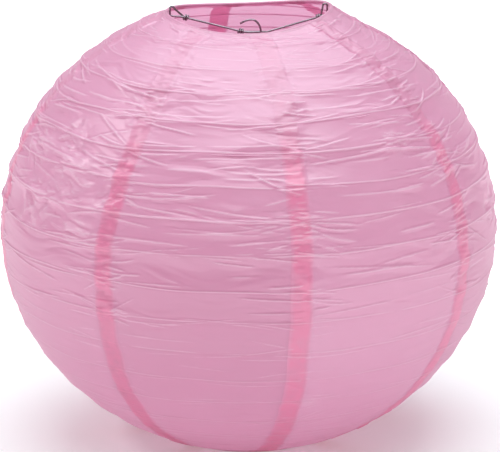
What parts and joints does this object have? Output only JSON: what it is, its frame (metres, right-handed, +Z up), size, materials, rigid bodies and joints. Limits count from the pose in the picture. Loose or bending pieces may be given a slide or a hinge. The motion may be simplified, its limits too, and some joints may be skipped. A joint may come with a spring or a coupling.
{
  "type": "round paper lantern",
  "caption": "Round paper lantern on wire hoops with open end rings, and a lift-out wire expander whose arm ends in a hanging hook.",
  "frame": {"origin": "on the floor under the lantern's centre, where it stands on its bottom ring", "axes": "+Z up along the lantern's axis; the expander's arms lie along X; -Y is the front"},
  "size_m": [0.508, 0.508, 0.4474],
  "materials": {
    "pink_paper": "thin, creased, slightly glossy",
    "ring_wire": "drawn and galvanised",
    "rib_wire": "matt, paper covered",
    "expander_wire": "bright, galvanised"
  },
  "bodies": {
    "base": {"bottom_ring": "ring_wire", "paper_gore_1": "pink_paper", "paper_gore_2": "pink_paper", "paper_gore_3": "pink_paper", "paper_gore_4": "pink_paper", "paper_gore_5": "pink_paper", "paper_gore_6": "pink_paper", "paper_gore_7": "pink_paper", "paper_gore_8": "pink_paper"},
    "hoop_01": {"hoop_01": "rib_wire"},
    "hoop_02": {"hoop_02": "rib_wire"},
    "hoop_03": {"hoop_03": "rib_wire"},
    "hoop_04": {"hoop_04": "rib_wire"},
    "hoop_05": {"hoop_05": "rib_wire"},
    "hoop_06": {"hoop_06": "rib_wire"},
    "hoop_07": {"hoop_07": "rib_wire"},
    "hoop_08": {"hoop_08": "rib_wire"},
    "hoop_09": {"hoop_09": "rib_wire"},
    "hoop_10": {"hoop_10": "rib_wire"},
    "hoop_11": {"hoop_11": "rib_wire"},
    "hoop_12": {"hoop_12": "rib_wire"},
    "hoop_13": {"hoop_13": "rib_wire"},
    "hoop_14": {"hoop_14": "rib_wire"},
    "hoop_15": {"hoop_15": "rib_wire"},
    "hoop_16": {"hoop_16": "rib_wire"},
    "hoop_17": {"hoop_17": "rib_wire"},
    "top_ring": {"top_ring": "ring_wire"},
    "expander": {"left_arm_with_hook": "expander_wire", "right_arm": "expander_wire", "left_strut": "expander_wire", "right_strut": "expander_wire", "bottom_crossbar": "expander_wire"}
  },
  "joints": [
    {"name": "collapse", "type": "slide", "parent": "base", "child": "top_ring", "axis": [0, 0, -1], "range_m": [0, 0.4], "deforming": ["paper_gore_1", "paper_gore_2", "paper_gore_3", "paper_gore_4", "paper_gore_5", "paper_gore_6", "paper_gore_7", "paper_gore_8"]},
    {"name": "hoop_01_slide", "type": "slide", "parent": "base", "child": "hoop_01", "axis": [0, 0, -1], "range_m": [0, 0.01128]},
    {"name": "hoop_02_slide", "type": "slide", "parent": "base", "child": "hoop_02", "axis": [0, 0, -1], "range_m": [0, 0.0256]},
    {"name": "hoop_03_slide", "type": "slide", "parent": "base", "child": "hoop_03", "axis": [0, 0, -1], "range_m": [0, 0.04305]},
    {"name": "hoop_04_slide", "type": "slide", "parent": "base", "child": "hoop_04", "axis": [0, 0, -1], "range_m": [0, 0.0637]},
    {"name": "hoop_05_slide", "type": "slide", "parent": "base", "child": "hoop_05", "axis": [0, 0, -1], "range_m": [0, 0.08732]},
    {"name": "hoop_06_slide", "type": "slide", "parent": "base", "child": "hoop_06", "axis": [0, 0, -1], "range_m": [0, 0.11311]},
    {"name": "hoop_07_slide", "type": "slide", "parent": "base", "child": "hoop_07", "axis": [0, 0, -1], "range_m": [0, 0.14108]},
    {"name": "hoop_08_slide", "type": "slide", "parent": "base", "child": "hoop_08", "axis": [0, 0, -1], "range_m": [0, 0.17048]},
    {"name": "hoop_09_slide", "type": "slide", "parent": "base", "child": "hoop_09", "axis": [0, 0, -1], "range_m": [0, 0.2005]},
    {"name": "hoop_10_slide", "type": "slide", "parent": "base", "child": "hoop_10", "axis": [0, 0, -1], "range_m": [0, 0.23052]},
    {"name": "hoop_11_slide", "type": "slide", "parent": "base", "child": "hoop_11", "axis": [0, 0, -1], "range_m": [0, 0.25992]},
    {"name": "hoop_12_slide", "type": "slide", "parent": "base", "child": "hoop_12", "axis": [0, 0, -1], "range_m": [0, 0.28789]},
    {"name": "hoop_13_slide", "type": "slide", "parent": "base", "child": "hoop_13", "axis": [0, 0, -1], "range_m": [0, 0.31368]},
    {"name": "hoop_14_slide", "type": "slide", "parent": "base", "child": "hoop_14", "axis": [0, 0, -1], "range_m": [0, 0.3373]},
    {"name": "hoop_15_slide", "type": "slide", "parent": "base", "child": "hoop_15", "axis": [0, 0, -1], "range_m": [0, 0.35795]},
    {"name": "hoop_16_slide", "type": "slide", "parent": "base", "child": "hoop_16", "axis": [0, 0, -1], "range_m": [0, 0.3754]},
    {"name": "hoop_17_slide", "type": "slide", "parent": "base", "child": "hoop_17", "axis": [0, 0, -1], "range_m": [0, 0.38972]},
    {"name": "expander_lift", "type": "slide", "parent": "base", "child": "expander", "axis": [0, 0, 1], "range_m": [0, 0.46]}
  ],
  "couplings": [
    {"joint": "hoop_01_slide", "follows": "collapse", "ratio": 0.02695},
    {"joint": "hoop_02_slide", "follows": "collapse", "ratio": 0.06276},
    {"joint": "hoop_03_slide", "follows": "collapse", "ratio": 0.10637},
    {"joint": "hoop_04_slide", "follows": "collapse", "ratio": 0.15799},
    {"joint": "hoop_05_slide", "follows": "collapse", "ratio": 0.21704},
    {"joint": "hoop_06_slide", "follows": "collapse", "ratio": 0.28152},
    {"joint": "hoop_07_slide", "follows": "collapse", "ratio": 0.35144},
    {"joint": "hoop_08_slide", "follows": "collapse", "ratio": 0.42496},
    {"joint": "hoop_09_slide", "follows": "collapse", "ratio": 0.5},
    {"joint": "hoop_10_slide", "follows": "collapse", "ratio": 0.57504},
    {"joint": "hoop_11_slide", "follows": "collapse", "ratio": 0.64856},
    {"joint": "hoop_12_slide", "follows": "collapse", "ratio": 0.71848},
    {"joint": "hoop_13_slide", "follows": "collapse", "ratio": 0.78296},
    {"joint": "hoop_14_slide", "follows": "collapse", "ratio": 0.84201},
    {"joint": "hoop_15_slide", "follows": "collapse", "ratio": 0.89363},
    {"joint": "hoop_16_slide", "follows": "collapse", "ratio": 0.93724},
    {"joint": "hoop_17_slide", "follows": "collapse", "ratio": 0.97305}
  ]
}
